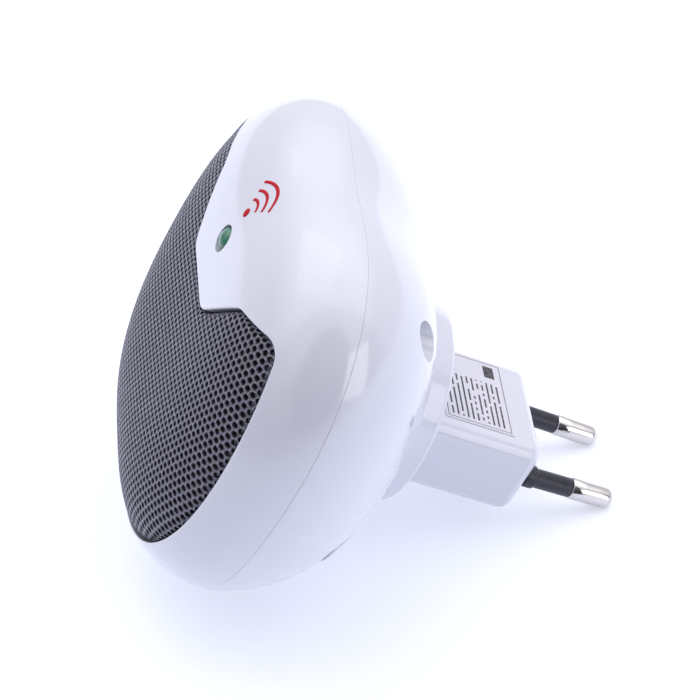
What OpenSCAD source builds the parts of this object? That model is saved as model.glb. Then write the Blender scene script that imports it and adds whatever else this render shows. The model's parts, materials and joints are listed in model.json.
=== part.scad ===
// Plug-in ultrasonic pest repeller, split into the pieces it is assembled from.
// +Z is up on a wall socket, -Y is the front with the speaker grille, +Y goes into the socket.
// The origin is the middle of the plug's end face, halfway between the two pins.

/* [Case outline] */
// Mean radius of the case seen from the front
case_r = 43.9; // [42:0.1:46]
// How much wider than tall the outline is
oval = 3.35; // [2:0.05:4]
// Egg shape: fuller upper shoulders, narrower top
egg = 1.1; // [0:0.05:1.6]
// Squareness of the outline's diagonals
squareness = 2; // [1:0.1:2.6]
// Height of the outline's middle above the pins
case_z = 4.2; // [3:0.1:6]
// Distance from the plug's end face to the seam between the shells
seam_to_face = 53.7; // [52:0.1:58]

/* [Case depth] */
// Depth of the front shell at its middle
front_depth = 17.9; // [17:0.1:19]
// Extra depth of the front shell towards its lower edge
front_lean = 2.6; // [0:0.1:3]
// Depth of the rear shell at its middle
rear_depth = 26.6; // [26:0.1:28]
// Extra depth of the rear shell towards its lower edge
rear_lean = 2.7; // [0:0.1:3]
// Wall thickness of both shells
wall = 2; // [1.6:0.1:2.2]

/* [Grille] */
// Size of the grille opening against the case outline
opening_share = 0.8825; // [0.87:0.0025:0.89]
// Egg shape of the grille opening
opening_egg = 0.55; // [0:0.05:1.2]
// Squareness of the grille opening's diagonals
opening_squareness = 1.7; // [1:0.1:2.6]
// Half width of the flat end of the tongue above the grille
tongue_half = 9.6; // [8:0.1:11]
// Height of the tongue's end above the pins
tongue_z = 13.5; // [12:0.1:15]
// Radius of the tongue's corners
tongue_corner_r = 5; // [3:0.5:6]
// Radius of the grille's two upper corners
ear_corner_r = 4; // [3:0.5:6]
// How far the grille is sunk below the shell's surface
grille_sunk = 0.4; // [0:0.1:0.6]
// Thickness of the grille's sheet
grille_sheet = 0.8; // [0.6:0.1:1]
// Gap between the grille and the shell
grille_gap = 0.3; // [0.2:0.05:0.5]

/* [Indicator] */
// Height of the light above the pins
led_z = 22.7; // [21:0.1:24]
// Radius of the light's lens
led_r = 2.45; // [2.4:0.05:2.5]

/* [Plug] */
// Width of the plug block
plug_w = 26; // [24:0.5:27]
// Height of the plug block
plug_h = 16; // [15:0.5:17]
// Length of the plug block from the collar to its end face
plug_len = 23.3; // [22:0.1:24]
// Radius of the collar at its rear face
collar_r = 19; // [18:0.1:20]
// Height of the collar's middle above the pins
collar_z = 1.2; // [0:0.1:2]
// Radius of a bare pin
pin_r = 2; // [1.97:0.01:2.03]
// Length of a pin outside the plug
pin_len = 19; // [18:0.5:20]
// Length of the insulating sleeve outside the plug
sleeve_len = 10; // [10:0.5:11]
// Distance between the pins' middles at the plug's end face
pin_pitch_root = 18.6; // [18.4:0.1:18.8]
// Distance between the pins' middles at their tips
pin_pitch_tip = 17.5; // [17.3:0.1:17.7]

/* [Fasteners] */
// Sideways place of the upper case screws
upper_screw_x = 24.4; // [24:0.1:25]
// Height of the upper case screws
upper_screw_z = 32; // [31:0.1:32.5]
// Sideways place of the lower case screws
lower_screw_x = 32.5; // [32:0.1:33]
// Height of the lower case screws, below the pins
lower_screw_z = -9.5; // [-11:0.1:-8]
// Radius of the recess over a case screw
screw_recess_r = 3.2; // [3:0.1:3.4]

/* [Speaker] */
// Height of the speaker's middle, below the pins
speaker_z = -9; // [-10:0.1:-8]
// Radius of the speaker's flange
speaker_r = 20; // [19:0.1:20.5]

/* [Board] */
// Width of the circuit board
board_w = 54; // [50:0.5:54]
// Height of the circuit board
board_h = 50; // [48:0.5:50]
// Thickness of the circuit board
board_t = 1.6; // [1.2:0.1:1.6]

/* [Hidden] */

eps = 0.05;
segments = 48;
rings = 12;
$fn = 48;

// Places along Y inside the case are counted from the seam between the shells.
front_curve = [4.4, 0.51];
rear_curve = [2.85, 0.59];
ledge_y = -8;
ledge_t = 2.4;
ledge_w = 8;
baffle_t = 1.8;
baffle_y = ledge_y + ledge_t;
board_y = 12;
board_z = 3;
board_corner_r = 6;
screw_seat_y = 10;
screw_tip_y = -5;
boss_r = 4.6;
front_boss_r = 3.3;
plug_wall = 1.5;
plug_corner_r = 3.5;
plug_end_round = 2.4;
end_wall = 3;
spigot_r = 14.4;
collar_back_y = seam_to_face - plug_len;
pin_tilt = atan((pin_pitch_root - pin_pitch_tip) / 2 / pin_len);
speaker_hole_r = 15.8;
horn_y = baffle_y - 0.4;
wire_r = 0.75;
thin_wire_r = 0.5;
case_screw_places = [for (side = [-1, 1]) each
    [[side * upper_screw_x, upper_screw_z], [side * lower_screw_x, lower_screw_z]]];
board_screw_places = [for (x = [-21, 21]) for (z = [-15, 16]) [x, z]];
baffle_screw_places = [for (side = [-1, 1]) for (place = [[30, 24], [24.5, -23]])
    [side * place[0], place[1]]];
case_color = [0.91, 0.91, 0.95];
dark_color = [0.14, 0.14, 0.16];
metal_color = [0.78, 0.78, 0.76];

// ---------- case surface ----------

// Distance of the case outline from its middle, at angle a from +X towards +Z.
function outline_radius(a, e = egg, s = squareness) =
    case_r + oval * cos(2 * a) + e * sin(3 * a) - s * cos(4 * a);

// Depth of a shell at the share q of the outline radius. side is -1 in front, 1 behind.
function shell_depth(a, q, side, grow) =
    let (depth = side < 0 ? front_depth : rear_depth)
    let (lean = side < 0 ? front_lean : rear_lean)
    let (curve = side < 0 ? front_curve : rear_curve)
    let (height = q * outline_radius(a) * sin(a) / case_r)
    (depth - lean * height + grow) * pow(max(0, 1 - pow(q, curve[0])), curve[1]);

function shell_point(a, q, side, grow) =
    let (r = q * (outline_radius(a) + grow))
    [r * cos(a), side * shell_depth(a, q, side, grow), case_z + r * sin(a)];

// A closed dome between the seam plane and the surface that lies grow outside the case.
// skirt carries its open side past the seam, so that it cuts cleanly.
module dome(side, grow = 0, skirt = 0) {
    step = 360 / segments;
    rim = [for (i = [0 : segments - 1]) shell_point(i * step, 1, side, grow)];
    points = [
        shell_point(0, 0, side, grow),
        for (j = [1 : rings - 1]) for (i = [0 : segments - 1])
            shell_point(i * step, sin(90 * j / rings), side, grow),
        each rim,
        if (skirt > 0) each [for (p = rim) [p[0], -side * skirt, p[2]]]
    ];
    bands = skirt > 0 ? rings : rings - 1;
    function at(j, i) = 1 + j * segments + (i % segments);
    function turned(face) = side < 0 ? face : [face[2], face[1], face[0]];
    faces = [
        for (i = [0 : segments - 1]) turned([0, at(0, i + 1), at(0, i)]),
        for (j = [0 : bands - 1]) for (i = [0 : segments - 1]) each [
            turned([at(j, i), at(j, i + 1), at(j + 1, i)]),
            turned([at(j, i + 1), at(j + 1, i + 1), at(j + 1, i)])
        ],
        side < 0
            ? [for (i = [0 : segments - 1]) at(bands, i)]
            : [for (i = [segments - 1 : -1 : 0]) at(bands, i)]
    ];
    polyhedron(points, faces);
}

// The curved skins are evaluated together as one smooth faceted body. Bores are cut afterwards.
module skin() {
    resize([0, 0, 0]) children();
}

// Everything in the case is placed from the seam plane.
module in_case() {
    translate([0, -seam_to_face, 0]) children();
}

// A flat shape in X and Z, carried along Y from y0 to y1.
module along_y(y0, y1) {
    translate([0, y1, 0]) rotate([90, 0, 0]) linear_extrude(y1 - y0) children();
}

// A round bar along Y.
module bar_y(r, y0, y1, x = 0, z = 0) {
    translate([x, y0, z]) rotate([-90, 0, 0]) cylinder(r = r, h = y1 - y0);
}

module cone_y(r0, r1, y0, y1, x = 0, z = 0) {
    translate([x, y0, z]) rotate([-90, 0, 0]) cylinder(r1 = r0, r2 = r1, h = y1 - y0);
}

// The grille opening: the case outline drawn smaller, less the tongue from above.
module opening(grow = 0) {
    offset(delta = grow)
    offset(r = ear_corner_r) offset(delta = -ear_corner_r)
    offset(r = -tongue_corner_r) offset(delta = tongue_corner_r)
    difference() {
        polygon([for (i = [0 : 95]) let (a = i * 3.75)
            let (r = opening_share * outline_radius(a, opening_egg, opening_squareness))
            [r * cos(a), case_z + r * sin(a)]]);
        for (side = [-1, 1]) scale([side, 1])
            polygon([[-eps, tongue_z], [tongue_half, tongue_z],
                [tongue_half + 11.5, tongue_z + 11], [tongue_half + 28, tongue_z + 16.2],
                [tongue_half + 50, tongue_z + 20], [tongue_half + 50, 80], [-eps, 80]]);
    }
}

// ---------- casing ----------

module front_shell() {
    color(case_color) in_case() difference() {
        skin() {
            difference() {
                dome(-1);
                dome(-1, -wall, 1);
                along_y(-40, 1) opening();
            }
            intersection() {
                dome(-1, -wall / 2);
                union() {
                    difference() {
                        along_y(ledge_y, ledge_y + ledge_t) opening(2.5);
                        along_y(ledge_y - 1, ledge_y + ledge_t + 1) opening(-ledge_w);
                        bar_y(speaker_r + 0.4, ledge_y - 1, 0, 0, speaker_z);
                    }
                    for (p = case_screw_places)
                        bar_y(front_boss_r, p[1] > 0 ? -40 : ledge_y, -0.2, p[0], p[1]);
                }
            }
        }
        for (p = case_screw_places)
            bar_y(1.2, screw_tip_y - 1, 1, p[0], p[1]);
        bar_y(led_r + 0.15, -40, 0, 0, led_z);
        for (p = baffle_screw_places)
            bar_y(0.8, ledge_y + 0.4, ledge_y + ledge_t + 1, p[0], p[1]);
    }
}

module rear_shell() {
    color(case_color) in_case() difference() {
        skin() {
            difference() {
                dome(1);
                dome(1, -wall, 1);
            }
            intersection() {
                dome(1, -wall / 2);
                union() {
                    for (p = case_screw_places) bar_y(boss_r, 0, 40, p[0], p[1]);
                    for (p = board_screw_places) bar_y(3, board_y + board_t, 40, p[0], p[1]);
                }
            }
        }
        for (p = case_screw_places) {
            bar_y(1.6, -1, screw_seat_y + 1, p[0], p[1]);
            bar_y(screw_recess_r, screw_seat_y, 40, p[0], p[1]);
        }
        for (p = board_screw_places) bar_y(0.9, board_y, board_y + 6.5, p[0], p[1]);
        bar_y(spigot_r + 0.2, 15, 40, 0, collar_z);
    }
}

module speaker_grille() {
    color(dark_color) in_case() skin() difference() {
        intersection() {
            dome(-1, -grille_sunk);
            along_y(-40, ledge_y) opening(-grille_gap);
        }
        intersection() {
            dome(-1, -grille_sunk - grille_sheet);
            along_y(-40, 0) opening(-grille_gap - grille_sheet);
        }
    }
}

module baffle_plate() {
    color("#202022") in_case() difference() {
        along_y(baffle_y, baffle_y + baffle_t) opening(-0.5);
        bar_y(speaker_hole_r, baffle_y - 1, baffle_y + 3, 0, speaker_z);
        for (p = case_screw_places)
            bar_y(front_boss_r + 0.3, baffle_y - 1, baffle_y + 3, p[0], p[1]);
        for (p = concat(speaker_screw_places(), baffle_screw_places))
            bar_y(p[2] == 1 ? 0.9 : 1.4, baffle_y - 1, baffle_y + 3, p[0], p[1]);
    }
}

// ---------- indicator ----------

module status_led() {
    color("#1f9d6a") in_case() {
        translate([0, -14.6, led_z]) sphere(r = led_r);
        bar_y(led_r, -14.6, -7, 0, led_z);
        bar_y(led_r + 0.45, -8, -7, 0, led_z);
    }
}

module led_leads() {
    color(metal_color) in_case() for (x = [-1.27, 1.27])
        translate([x - 0.25, -7, led_z - 0.25]) cube([0.5, board_y + board_t + 8, 0.5]);
}

// ---------- plug ----------

module rounded_rect(w, h, r) {
    square([w - 2 * r, h], center = true);
    square([w, h - 2 * r], center = true);
    for (x = [-1, 1]) for (z = [-1, 1])
        translate([x * (w / 2 - r), z * (h / 2 - r)]) circle(r = r);
}

// The block's end is rounded off by rings that step in along a quarter circle.
module plug_block() {
    steps = 4;
    along_y(collar_back_y - 1, seam_to_face - plug_end_round)
        rounded_rect(plug_w, plug_h, plug_corner_r);
    for (i = [0 : steps - 1]) {
        inset = plug_end_round * (1 - cos(90 * (i + 0.5) / steps));
        reach = plug_end_round * (1 - sin(90 * (i + 1) / steps));
        along_y(seam_to_face - plug_end_round - eps, seam_to_face - reach)
            rounded_rect(plug_w - 2 * inset, plug_h - 2 * inset, plug_corner_r - inset);
    }
}

// Places a shape drawn along +Z on the axis of one pin. side is -1 at left, 1 at right.
module on_pin(side) {
    translate([side * pin_pitch_root / 2, 0, 0])
        rotate([-90, 0, side * pin_tilt]) children();
}

module plug_housing() {
    color(case_color) difference() {
        in_case() difference() {
            union() {
                plug_block();
                skin() difference() {
                    cone_y(collar_r + 1.5, collar_r, 18, collar_back_y, 0, collar_z);
                    dome(1, eps);
                }
                bar_y(spigot_r, 20, collar_back_y, 0, collar_z);
                bar_y(spigot_r + 0.9, 20, 21.6, 0, collar_z);
            }
            bar_y(spigot_r - plug_wall, 19, collar_back_y - 2.5, 0, collar_z);
            along_y(19, seam_to_face - end_wall)
                rounded_rect(plug_w - 2 * plug_wall, plug_h - 2 * plug_wall, 1.5);
        }
        for (side = [-1, 1]) on_pin(side) translate([0, 0, -4]) cylinder(r = 1.9, h = 8);
    }
}

module rating_label() {
    color("white") translate([-9.9, -20.1, plug_h / 2]) cube([19.8, 14, 0.15]);
}

module plug_pin(side) {
    color(metal_color) on_pin(side) {
        translate([0, 0, -9]) cylinder(r = 1.2, h = 4.5);
        translate([0, 0, -4.8]) cylinder(r = 2.3, h = 1.6);
        translate([0, 0, -4]) cylinder(r = 1.55, h = sleeve_len + 5);
        translate([0, 0, sleeve_len]) cylinder(r = pin_r, h = pin_len - pin_r - sleeve_len);
        translate([0, 0, pin_len - pin_r]) sphere(r = pin_r);
    }
}

module pin_sleeve(side) {
    color(dark_color) on_pin(side) difference() {
        union() {
            translate([0, 0, -end_wall]) cylinder(r = 1.84, h = sleeve_len + end_wall - eps);
            translate([0, 0, 0.1]) cylinder(r = 2.17, h = 2);
        }
        translate([0, 0, -end_wall - 1]) cylinder(r = 1.6, h = sleeve_len + end_wall + 2);
    }
}

module plug_pin_left() { plug_pin(-1); }
module plug_pin_right() { plug_pin(1); }
module pin_sleeve_left() { pin_sleeve(-1); }
module pin_sleeve_right() { pin_sleeve(1); }

// ---------- wires ----------

// A point on the smooth curve through p1 and p2, at the share u of the way between them.
function curve_point(p0, p1, p2, p3, u) =
    (2 * p1 + (p2 - p0) * u + (2 * p0 - 5 * p1 + 4 * p2 - p3) * u * u
        + (3 * p1 - p0 - 3 * p2 + p3) * u * u * u) / 2;

function smooth_path(path, parts) = [
    for (i = [0 : len(path) - 2]) for (k = [0 : parts - 1])
        curve_point(path[max(i - 1, 0)], path[i], path[i + 1],
            path[min(i + 2, len(path) - 1)], k / parts),
    path[len(path) - 1]
];

function unit(v) = v / norm(v);

// A round wire along a path that never runs along X.
module wire(path, r, parts = 3, sides = 8) {
    line = smooth_path(path, parts);
    last = len(line) - 1;
    points = [for (i = [0 : last])
        let (t = unit(line[min(i + 1, last)] - line[max(i - 1, 0)]))
        let (n = unit([1, 0, 0] - t[0] * t))
        let (b = cross(t, n))
        for (k = [0 : sides - 1])
            line[i] + r * (cos(k * 360 / sides) * n + sin(k * 360 / sides) * b)];
    faces = [
        [for (k = [0 : sides - 1]) k],
        for (i = [0 : last - 1]) for (k = [0 : sides - 1])
            let (a = i * sides + k, b = i * sides + (k + 1) % sides)
            each [[a, a + sides, b], [b, a + sides, b + sides]],
        [for (k = [sides - 1 : -1 : 0]) last * sides + k]
    ];
    polyhedron(points, faces);
}

// A mains wire runs from a pin's solder tail through the spigot to the back of the board.
module mains_wire(side) {
    in_case() wire([
        [side * 9.6, 44.7, 0],
        [side * 9.5, 40, 0.5],
        [side * 8.5, 33, 1.5],
        [side * 8.5, 26, 3],
        [side * 10, 20, 6],
        [side * 11, 16, 8],
        [side * 11, board_y + board_t, 8]
    ], wire_r);
}

module mains_wire_live() { color("saddlebrown") mains_wire(-1); }
module mains_wire_neutral() { color("royalblue") mains_wire(1); }

// A speaker wire runs from the speaker's cover up to the board's front.
module speaker_wire(side) {
    in_case() wire([
        [side * 3, 0.9, speaker_z],
        [side * 3, 2.6, speaker_z + 0.4],
        [side * 3.5, 4.4, speaker_z + 3],
        [side * 4.5, 5, 2],
        [side * 5.5, 7, 11],
        [side * 5.5, board_y, 13]
    ], thin_wire_r);
}

module speaker_wire_red() { color("firebrick") speaker_wire(-1); }
module speaker_wire_black() { color("#181818") speaker_wire(1); }

// ---------- speaker ----------

function speaker_screw_places() = [for (a = [45 : 90 : 315])
    [17.8 * cos(a), speaker_z + 17.8 * sin(a), 1]];

// A shape drawn as [radius, y] and turned around the speaker's axis.
module around_speaker() {
    in_case() translate([0, 0, speaker_z]) rotate([-90, 0, 0]) rotate_extrude() children();
}

module speaker_frame() {
    color("#1b1b1d") difference() {
        around_speaker() polygon([
            [14.5, horn_y - 2], [speaker_r, horn_y - 2], [speaker_r, horn_y],
            [15.4, horn_y], [15.4, baffle_y + 1.2], [9.2, 0], [8, 0],
            [13.4, baffle_y + 0.7], [13.4, horn_y - 0.9], [14.5, horn_y - 0.9]]);
        in_case() for (p = speaker_screw_places())
            bar_y(1.3, horn_y - 3, horn_y + 1, p[0], p[1]);
    }
}

module speaker_gasket() {
    color("#3a3a3c") difference() {
        around_speaker() translate([15.9, horn_y + eps])
            square([speaker_r - 16.2, baffle_y - horn_y - 2 * eps]);
        in_case() for (p = speaker_screw_places())
            bar_y(1.3, horn_y - 3, horn_y + 1, p[0], p[1]);
    }
}

module speaker_cone() {
    color("#2c2c30") around_speaker() polygon([
        [14.3, horn_y - 1.25], [14.3, horn_y - 0.95], [13.1, horn_y - 0.95],
        [2.5, -2.1], [0, -2.1], [0, -2.6], [2.3, -2.6], [12.9, horn_y - 1.25]]);
}

module piezo_plate() {
    color("goldenrod") around_speaker() translate([0, -2]) square([7, 0.3]);
}

module piezo_ceramic() {
    color("#e6e2d4") around_speaker() translate([0, -1.65]) square([5, 0.3]);
}

module speaker_cover() {
    color("#1b1b1d") difference() {
        around_speaker() polygon([
            [0, 1.6], [9.6, 1.6], [9.6, 0.05], [7.6, 0.05], [7.6, -0.6], [6.6, -0.6],
            [6.6, 0.5], [0, 0.5]]);
        in_case() for (x = [-3, 3]) bar_y(0.8, -1, 3, x, speaker_z);
    }
}

// ---------- screws ----------

// A round-headed screw along Y. The head sits at y_head and the tip points along dir.
module screw_y(x, y_head, z, head_r, head_h, shank_r, length, dir) {
    y_tip = y_head + dir * length;
    difference() {
        bar_y(head_r, min(y_head, y_head - dir * head_h), max(y_head, y_head - dir * head_h), x, z);
        translate([x, y_head - dir * head_h, z]) {
            cube([head_r * 1.3, head_h, 0.5], center = true);
            cube([0.5, head_h, head_r * 1.3], center = true);
        }
    }
    bar_y(shank_r, min(y_head, y_tip), max(y_head, y_tip), x, z);
}

module case_screws() {
    color(metal_color) in_case() for (p = case_screw_places)
        screw_y(p[0], screw_seat_y, p[1], 2.7, 1.8, 1.18, screw_seat_y - screw_tip_y, -1);
}

module board_screws() {
    color(metal_color) in_case() for (p = board_screw_places)
        screw_y(p[0], board_y, p[1], 2.2, 1.4, 0.88, 6, 1);
}

module speaker_screws() {
    color("#303032") in_case() for (p = speaker_screw_places())
        screw_y(p[0], horn_y - 2, p[1], 1.9, 1.1, 0.88, 4.4, 1);
}

module baffle_screws() {
    color(metal_color) in_case() for (p = baffle_screw_places)
        screw_y(p[0], baffle_y + baffle_t, p[1], 1.9, 1.2, 0.78, 3.6, -1);
}

// ---------- circuit board ----------

module main_board() {
    color("#1f6b3a") in_case() difference() {
        along_y(board_y, board_y + board_t)
            translate([0, board_z]) rounded_rect(board_w, board_h, board_corner_r);
        for (p = board_screw_places) bar_y(1.1, board_y - 1, board_y + 3, p[0], p[1]);
        for (x = [-1.27, 1.27]) bar_y(0.45, board_y - 1, board_y + 3, x, led_z);
    }
}

// A boxed part standing on the board's front, with its two legs through the board.
module boxed(x, z, w, h, tall, leg_pitch) {
    translate([x - w / 2, board_y - 0.3 - tall, z - h / 2]) cube([w, tall, h]);
    for (side = [-1, 1]) bar_y(0.3, board_y - 0.6, board_y - eps, x + side * leg_pitch / 2, z);
}

module can(x, z, r, tall) {
    bar_y(r, board_y - 0.3 - tall, board_y - 0.3, x, z);
    for (side = [-1, 1]) bar_y(0.25, board_y - 0.6, board_y - eps, x + side * r / 2, z);
}

// An axial part lying on the board along X, with its legs bent down to the board.
module axial(x, z, r, length) {
    y = board_y - r - 0.3;
    translate([x - length / 2, y, z]) rotate([0, 90, 0]) cylinder(r = r, h = length);
    for (side = [-1, 1]) {
        bend = x + side * (length / 2 + 1.6);
        translate([min(bend, x) - 0.25, y - 0.25, z - 0.25]) cube([abs(bend - x) + 0.5, 0.5, 0.5]);
        translate([bend - 0.25, y, z - 0.25]) cube([0.5, board_y - eps - y, 0.5]);
    }
}

module mains_capacitor() {
    color("#c9a227") in_case() boxed(-15.5, 4, 17, 7.5, 9, 15);
}

module bridge_rectifier() {
    color("#161616") in_case() boxed(-18, -6, 8, 6.4, 3, 5);
}

module fuse_resistor() {
    color("#8a5a3c") in_case() axial(-13, 23.5, 1.8, 9);
}

module varistor() {
    color("#2d4fa0") in_case() {
        translate([-19, board_y - 4.6, 10.4]) cylinder(r = 4, h = 3);
        for (side = [-1, 1]) bar_y(0.3, board_y - 1.5, board_y - eps, -19 + side * 2.2, 11.9);
    }
}

module storage_capacitor() {
    color("#20262e") in_case() can(20, 4, 5, 10);
}

module output_capacitor() {
    color("#20262e") in_case() can(14.5, 25, 2.5, 7);
}

module drive_coil() {
    color("#5a3a20") in_case() {
        bar_y(4, board_y - 8.3, board_y - 7.1, 11, -9);
        bar_y(2.6, board_y - 7.3, board_y - 1.3, 11, -9);
        bar_y(4, board_y - 1.5, board_y - 0.3, 11, -9);
        bar_y(3.5, board_y - 6.9, board_y - 1.7, 11, -9);
    }
}

module controller_chip() {
    color("#151517") in_case() {
        translate([-5, board_y - 3.8, -15.2]) cube([9.6, 3.3, 6.4]);
        for (i = [0 : 3]) for (side = [-1, 1])
            translate([-4.2 + i * 2.54, board_y - 2.2, -12.3 + side * 3.45])
                cube([0.5, 2.2 - eps, 0.6]);
    }
}

module drive_transistors() {
    color("#18181a") in_case() for (x = [-10, -5]) {
        difference() {
            bar_y(2.3, board_y - 6.6, board_y - 2.4, x, -4);
            translate([x - 3, board_y - 8, -4 + 1.3]) cube([6, 7, 3]);
        }
        for (i = [-1 : 1]) bar_y(0.22, board_y - 2.5, board_y - eps, x + i * 1.27, -4);
    }
}

module zener_diode() {
    color("#b5542c") in_case() axial(14, -19, 0.95, 4.2);
}

module board_resistors() {
    color("#4d8fb8") in_case() for (place = [[-14, -19.5], [13, 14.5], [-12, 15.5], [3, -20]])
        axial(place[0], place[1], 1.1, 5.5);
}

module ceramic_capacitors() {
    color("#c8722c") in_case() for (place = [[3, 4.5], [20, -9]]) {
        translate([place[0], board_y - 3.4, place[1] - 0.9]) cylinder(r = 2.2, h = 1.8);
        for (side = [-1, 1])
            bar_y(0.25, board_y - 1.7, board_y - eps, place[0] + side * 1.2, place[1]);
    }
}

front_shell();
rear_shell();
speaker_grille();
baffle_plate();
status_led();
led_leads();
plug_housing();
rating_label();
plug_pin_left();
plug_pin_right();
pin_sleeve_left();
pin_sleeve_right();
mains_wire_live();
mains_wire_neutral();
speaker_frame();
speaker_gasket();
speaker_cone();
piezo_plate();
piezo_ceramic();
speaker_cover();
speaker_screws();
speaker_wire_red();
speaker_wire_black();
baffle_screws();
main_board();
board_screws();
case_screws();
mains_capacitor();
bridge_rectifier();
fuse_resistor();
varistor();
storage_capacitor();
output_capacitor();
drive_coil();
controller_chip();
drive_transistors();
zener_diode();
board_resistors();
ceramic_capacitors();
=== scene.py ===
"""Plug-in ultrasonic pest repeller: the looks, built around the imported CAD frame."""
import json
import math

import bpy
import numpy as np
from mathutils import Matrix, Vector
from mathutils.geometry import delaunay_2d_cdt


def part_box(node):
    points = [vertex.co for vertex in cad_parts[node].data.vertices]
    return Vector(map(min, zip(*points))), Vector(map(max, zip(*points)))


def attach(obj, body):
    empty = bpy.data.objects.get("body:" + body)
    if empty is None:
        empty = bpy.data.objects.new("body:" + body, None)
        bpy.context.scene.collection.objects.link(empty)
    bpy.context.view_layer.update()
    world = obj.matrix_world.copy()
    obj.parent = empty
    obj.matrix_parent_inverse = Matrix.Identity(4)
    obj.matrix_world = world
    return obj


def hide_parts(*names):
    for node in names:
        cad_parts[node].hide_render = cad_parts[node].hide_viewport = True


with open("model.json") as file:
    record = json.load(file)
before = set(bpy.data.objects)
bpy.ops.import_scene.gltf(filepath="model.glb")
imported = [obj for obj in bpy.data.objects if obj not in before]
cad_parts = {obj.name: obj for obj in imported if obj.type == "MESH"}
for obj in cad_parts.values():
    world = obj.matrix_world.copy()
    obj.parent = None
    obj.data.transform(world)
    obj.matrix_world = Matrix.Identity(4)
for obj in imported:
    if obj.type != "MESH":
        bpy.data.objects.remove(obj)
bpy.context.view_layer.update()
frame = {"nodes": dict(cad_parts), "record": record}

MM = 0.001
TAU = 2 * math.pi

# ---------- sizes, in millimetres, as in the CAD ----------
CASE_R, OVAL, EGG, SQUARE, CASE_Z = 43.9, 3.35, 1.1, 2.0, 4.2
SEAM_Y = -53.7
FRONT = {"side": -1, "depth": 17.9, "lean": 2.6, "curve": (4.4, 0.51)}
REAR = {"side": 1, "depth": 26.6, "lean": 2.7, "curve": (2.85, 0.59)}
WALL = 2.0
OPENING_SHARE, OPENING_EGG, OPENING_SQUARE = 0.8825, 0.55, 1.7
# The tongue's lower corner, the knee above it and a point on the line from there to the ear.
TONGUE = [(9.6, 13.5), (21.1, 24.5), (37.6, 29.7)]
TONGUE_CORNER_R, KNEE_R, EAR_R = 5.0, 5.5, 4.0
# How far the outline turns at the tongue's corner and the knee, and the angle inside the ear.
TONGUE_TURN, KNEE_TURN, EAR_ANGLE = math.radians(43.7), math.radians(26.3), math.radians(108.5)
GRILLE_SUNK, GRILLE_SHEET, GRILLE_GAP = 0.4, 0.8, 0.3
LEDGE_Y = SEAM_Y - 8.0
LED_Z, LED_R, LED_DOME_Y = 22.7, 2.45, SEAM_Y - 14.6
PLUG_W, PLUG_H, PLUG_LEN, PLUG_CORNER = 26.0, 16.0, 23.3, 3.5
PLUG_END_ROUND = 2.4
COLLAR_R, COLLAR_Z, SPIGOT_R = 19.0, 1.2, 14.4
PIN_R, PIN_LEN, SLEEVE_LEN, PIN_PITCH, PIN_PITCH_TIP = 2.0, 19.0, 10.0, 18.6, 17.5
SCREW_PLACES = [(24.4, 32.0), (32.5, -9.5), (-24.4, 32.0), (-32.5, -9.5)]
SCREW_RECESS_R, SCREW_SEAT, SCREW_HOLE_R, BOSS_R = 3.2, 10.0, 1.6, 4.6
SPEAKER_Z = -9.0
SEAM_GAP, SEAM_ROUND, SEAM_INSET = 0.012, 0.10, 0.08
# Shares of the outline's radius: where normals are taken at the rim, and what counts as the rim.
JUST_INSIDE, RIM_SHARES = 0.99997, (0.9998, 1.0002)
ON_SURFACE = 4e-3
PLUG_FILLET, COLLAR_ROUND, COLLAR_SLOPE = 0.9, 1.1, math.atan(1.5 / 12.4)
PIN_CORE_R, PIN_FLANGE_R, PIN_STUB_R, PIN_TIP = 1.55, 2.3, 1.2, 1.75
SLEEVE_R, SLEEVE_RING_R, SLEEVE_BORE_R = 1.84, 2.17, 1.58
LED_CLEARANCE, LED_FLANGE = 0.15, 0.45

# ---------- light and camera ----------
TABLE_TILT = math.radians(27.1)
TABLE_DEPTH = -9.5
BRIGHT_TENT = (1.60, 1.60, 1.64)
DIM_ROOM = (0.92, 0.92, 0.98)
# Where along the level direction away from the camera the room gives way to the tent.
TENT_EDGE = (-0.13, 0.02)
# The light climbs from CLIMB_TO's first value to its second as the direction rises.
CLIMB_FROM, CLIMB_TO = (0.3, 0.85), (0.48, 1.2)
# Round one direction on the camera's side, CORE_HEIGHT above the table, the room is dark.
CORE_FROM, CORE_TO, CORE_HEIGHT = (0.74, 0.86), (1.0, 0.12), math.radians(35)
WINDOW_SIZE, WINDOW_POWER = 0.5, 0.34
WINDOW_TURN, WINDOW_HEIGHT = math.radians(-28), math.radians(62)
SIDE_SIZE, SIDE_POWER = 0.45, 1.1
LIGHT_DISTANCE = 0.7
TABLE_WHITE = (0.62, 0.66, 0.80)
TABLE_GLOW = 0.42
# Painted shade: the colour the table darkens to on the camera's side.
TABLE_PAINTED_SHADE = (0.16, 0.16, 0.20)
TABLE_SIZE, TABLE_CELLS = 2400.0, 8
# Where the table turns from its painted shade to white, in metres away from the camera.
TABLE_SHADE_FADE = (-0.34, -0.15)

CAMERA_AT = (344.78, -192.07, 250.87)
CAMERA_AIM = (-13.637, -32.603, -1.235)
CAMERA_ROLL = math.radians(31.212)
CAMERA_LENS = 128.06


# ---------- case surface ----------
def outline_radius(a, egg=EGG, square=SQUARE):
    """Distance of the case outline from its middle at angle a."""
    return CASE_R + OVAL * np.cos(2 * a) + egg * np.sin(3 * a) - square * np.cos(4 * a)


def surface_y(shell, x, z, grow=0.0):
    """Y of a shell's surface over the point (x, z)."""
    h = z - CASE_Z
    q = np.hypot(x, h) / (outline_radius(np.arctan2(h, x)) + grow)
    n, m = shell["curve"]
    rise = np.maximum(0.0, 1.0 - q ** n) ** m
    return SEAM_Y + shell["side"] * (shell["depth"] - shell["lean"] * h / CASE_R + grow) * rise


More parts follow.
